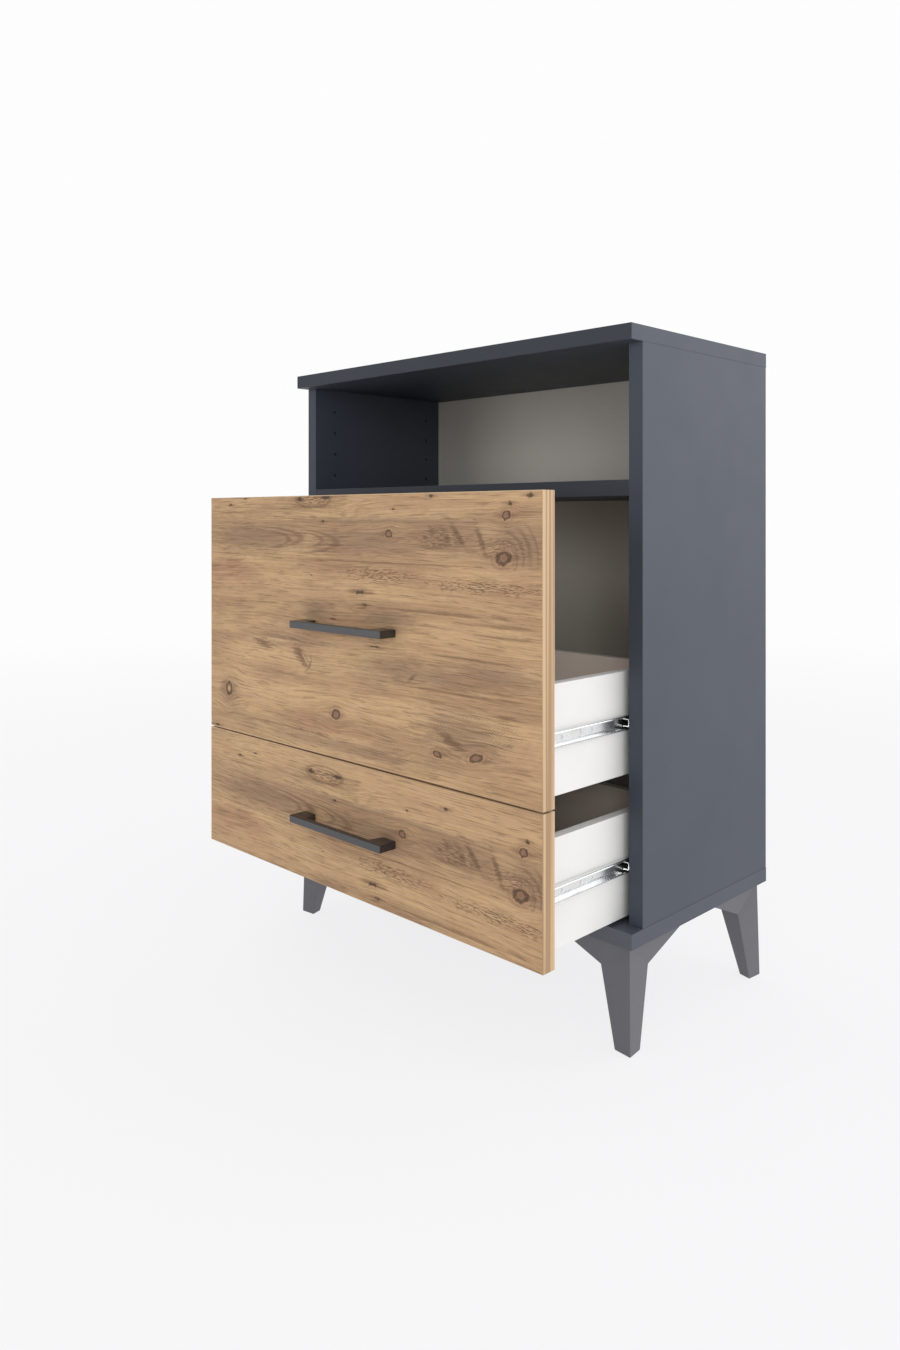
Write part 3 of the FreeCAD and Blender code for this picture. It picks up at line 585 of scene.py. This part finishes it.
# One finish for each slot of the record, and a few nodes with a finish of their own
finishes = {
    "anthracite_board": meltedPaper("anthraciteBoard", anthraciteLook),
    "white_board": meltedPaper("whiteBoard", whiteLook),
    "taupe_hardboard": lacqueredHardboard("taupeHardboard", taupeLook),
    "pine_edge_band": pineEdgeBand("pineEdgeBand", pineBandLook),
    "leg_plastic": grainedCoat("legPlastic", legLook),
    "handle_paint": grainedCoat("handlePaint", handleLook),
    "zinc_steel": drawnSteel("zincSteel", zincLook),
    "cage_steel": drawnSteel("cageSteel", cageLook),
    "bearing_steel": drawnSteel("bearingSteel", ballLook),
    "screw_steel": drawnSteel("screwSteel", screwLook),
    "beech_dowel": beechPeg("beechDowel", beechLook),
}
frontPrints = {  # where the print starts on each front, in mm, and how much lighter it is printed
    "upper": {"shift": (0.0, 0.0), "lighter": 0.0},
    "lower": {"shift": (23.0, 18.0), "lighter": 0.14},
}
# top panel and shelf get a copy with painted-shade front edges, the bottom panel a lighter painted-light
# copy
shadedTopBoard = meltedPaper("shadedTopBoard", shadedTopLook)
creamBoard = meltedPaper("creamBoard", creamLook)
ownFinishes = {
    "top_panel": shadedTopBoard, "niche_shelf": shadedTopBoard, "bottom_panel": meltedPaper("litBottomBoard", litBottomLook),
}
for drawer, pine in frontPrints.items():
    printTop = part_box(drawer + "_front_edge_band")[1].z
    ownFinishes[drawer + "_front"] = pineLaminate(drawer + "Pine", printTop, pine["shift"], pine["lighter"])
    ownFinishes[drawer + "_drawer_back"] = creamBoard
    ownFinishes[drawer + "_drawer_bottom"] = creamBoard
for subpart in frame["record"]["subparts"]:
    name = subpart["node"]
    mesh = nodes[name].data
    mesh.materials.clear()
    mesh.materials.append(ownFinishes.get(name) or finishes[subpart["material_slot"]])
print("finishes given to", len(nodes), "nodes")


# Edges eased by a fraction of a millimetre, as cut and lipped boards have them
easedEdges = {  # radius in mm
    "anthracite_board": 0.5, "white_board": 0.4, "pine_edge_band": 0.2, "leg_plastic": 0.7,
    "handle_paint": 0.5,
}
easing = {"weld": 0.01, "segments": 2, "sharpest": 40.0}  # mm, number, degrees


def easeEdges(node, radius):
    weld = node.modifiers.new("weld", "WELD")
    weld.merge_threshold = easing["weld"] * mm
    ease = node.modifiers.new("ease", "BEVEL")
    ease.width = radius * mm
    ease.segments = easing["segments"]
    ease.limit_method = "ANGLE"
    ease.angle_limit = math.radians(easing["sharpest"])


for subpart in frame["record"]["subparts"]:
    if subpart["material_slot"] in easedEdges:
        easeEdges(nodes[subpart["node"]], easedEdges[subpart["material_slot"]])
print("edges eased")


def addPiece(name, mesh, body, slot):
    piece = bpy.data.objects.new(name, mesh)
    scene.collection.objects.link(piece)
    mesh.materials.append(finishes[slot])
    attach(piece, body)
    return piece


# Smooth bearing balls, where the solids have flats
ballShape = {"rings": 14, "segments": 20, "reach": 4.0}  # corners within the reach, in mm, are one ball


def smoothBalls(drawer):
    node = drawer + "_bearing_balls"
    clusters = []
    for vertex in nodes[node].data.vertices:
        for cluster in clusters:
            if (cluster[0] - vertex.co).length < ballShape["reach"] * mm:
                cluster.append(vertex.co.copy())
                break
        else:
            clusters.append([vertex.co.copy()])
    shape = bmesh.new()
    for cluster in clusters:
        low = Vector(min(corner[axis] for corner in cluster) for axis in range(3))
        high = Vector(max(corner[axis] for corner in cluster) for axis in range(3))
        bmesh.ops.create_uvsphere(shape, u_segments=ballShape["segments"], v_segments=ballShape["rings"],
                                  radius=(high.z - low.z) / 2, matrix=Matrix.Translation((low + high) / 2))
    for face in shape.faces:
        face.smooth = True
    mesh = bpy.data.meshes.new(drawer + "BearingBalls")
    shape.to_mesh(mesh)
    shape.free()
    piece = addPiece(drawer + "BearingBalls", mesh, drawer + "_slide_cages", "bearing_steel")
    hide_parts(node)
    print(piece.name, len(clusters), "balls")


for drawer in ("upper", "lower"):
    smoothBalls(drawer)


# Soft light from a white studio, with one dim side in front on the left
studio = {
    "dim": rgb(0.16, 0.165, 0.18), "dimSide": (-0.63, -0.77, 0.05), "dimFade": (0.4, 0.82),
    "bright": rgb(1.86, 1.87, 1.92), "brightSide": (0.60, 0.78, 0.18), "brightFade": (0.35, 0.9),
    "overhead": rgb(0.98, 0.98, 0.98), "overheadFade": (0.35, 0.85),
    "even": rgb(0.77, 0.77, 0.78), "backdrop": rgb(0.985, 0.985, 0.985),
}


def lightTheRoom(look):
    world = bpy.data.worlds.new("studio")
    scene.world = world
    world.use_nodes = True
    world.node_tree.nodes.clear()
    wire = Wire(world.node_tree)
    x, y, z = wire.node("TexCoord", out="Generated").axes()

    def towards(side):
        return x * side[0] + y * side[1] + z * side[2]

    colour = towards(look["brightSide"]).step(*look["brightFade"]).tint(look["even"], look["bright"])
    colour = z.step(*look["overheadFade"]).tint(colour, look["overhead"])
    colour = towards(look["dimSide"]).step(*look["dimFade"]).tint(colour, look["dim"])
    lit = wire.node("Background", inputs={"Color": colour})
    seen = wire.node("Background", inputs={"Color": look["backdrop"]})
    isCamera = wire.node("LightPath", out="Is Camera Ray")
    both = wire.node("MixShader", inputs={0: isCamera, 1: lit, 2: seen})
    wire.node("OutputWorld", inputs={"Surface": both})


softboxes = [  # metres and watts
    {"name": "rightSoftbox", "at": (2.4, -1.5, 0.9), "aim": (0.0, 0.0, 0.4), "size": 1.6, "power": 10.0},
    {"name": "frontSoftbox", "at": (-1.5, -2.6, 1.0), "aim": (0.0, 0.0, 0.4), "size": 1.3, "power": 18.5},
    {"name": "fillSoftbox", "at": (1.75, -1.95, 1.1), "aim": (0.1, -0.1, 0.25), "size": 0.6, "power": 6.5},
]


def hangSoftbox(box):
    lamp = bpy.data.lights.new(box["name"], "AREA")
    lamp.energy = box["power"]
    lamp.size = box["size"]
    holder = bpy.data.objects.new(box["name"], lamp)
    scene.collection.objects.link(holder)
    holder.location = box["at"]
    line = Vector(box["aim"]) - Vector(box["at"])
    holder.rotation_euler = line.to_track_quat("-Z", "Y").to_euler()


# A pale floor that keeps the shadow near the object and fades into the backdrop
floorLook = {
    "pale": rgb(0.90, 0.90, 0.905), "paper": rgb(0.935, 0.932, 0.945), "backdrop": studio["backdrop"],
    "reach": 60.0, "fade": (0.5, 4.5), "nearShare": 0.86,  # metres, metres, share of its own light
    "gritScale": 300.0, "roughness": 0.5, "gritGloss": 0.1, "specular": 0.3,
}


def layFloor(look):
    shape = bmesh.new()
    bmesh.ops.create_grid(shape, x_segments=1, y_segments=1, size=look["reach"])
    mesh = bpy.data.meshes.new("floor")
    shape.to_mesh(mesh)
    shape.free()
    floor = bpy.data.objects.new("floor", mesh)
    scene.collection.objects.link(floor)
    material, wire = newMaterial("paleFloor")
    x, y, z = restPlace(wire).axes()
    far = (x * x + y * y).root().step(*look["fade"])
    grit = wire.point(x, y).noise(look["gritScale"], detail=2.0)
    near = wire.node("BsdfPrincipled", inputs={
        "Base Color": look["pale"], "Roughness": look["roughness"] + grit * look["gritGloss"],
        "Specular IOR Level": look["specular"]})
    away = wire.node("Emission", inputs={"Color": far.tint(look["paper"], look["backdrop"])})
    rays = wire.node("LightPath", out="Is Camera Ray")
    for kind in ("Is Glossy Ray", "Is Transmission Ray"):
        rays = rays.highest(wire.node("LightPath", out=kind))
    share = look["nearShare"] + far * (1.0 - look["nearShare"])
    both = wire.node("MixShader", inputs={0: share * rays, 1: near, 2: away})
    wire.node("OutputMaterial", inputs={"Surface": both})
    mesh.materials.append(material)


lightTheRoom(studio)
for box in softboxes:
    hangSoftbox(box)
layFloor(floorLook)
print("studio lit")


# A level camera with a vertical shift, so that upright edges stay upright
cameraSetup = {
    "at": (0.93312, -1.06319, 0.58822), "turn": 44.90, "lens": 27.006, "sensor": 36.0, "rise": -0.1163,
    "nearest": 0.02,
}


def standCamera(setup):
    data = bpy.data.cameras.new("camera")
    data.lens = setup["lens"]
    data.sensor_width = setup["sensor"]
    data.shift_y = setup["rise"]
    data.clip_start = setup["nearest"]
    camera = bpy.data.objects.new("camera", data)
    scene.collection.objects.link(camera)
    camera.location = setup["at"]
    camera.rotation_euler = (math.radians(90.0), 0.0, math.radians(setup["turn"]))
    scene.camera = camera


standCamera(cameraSetup)
scene.view_settings.view_transform = "Standard"
print("camera set")
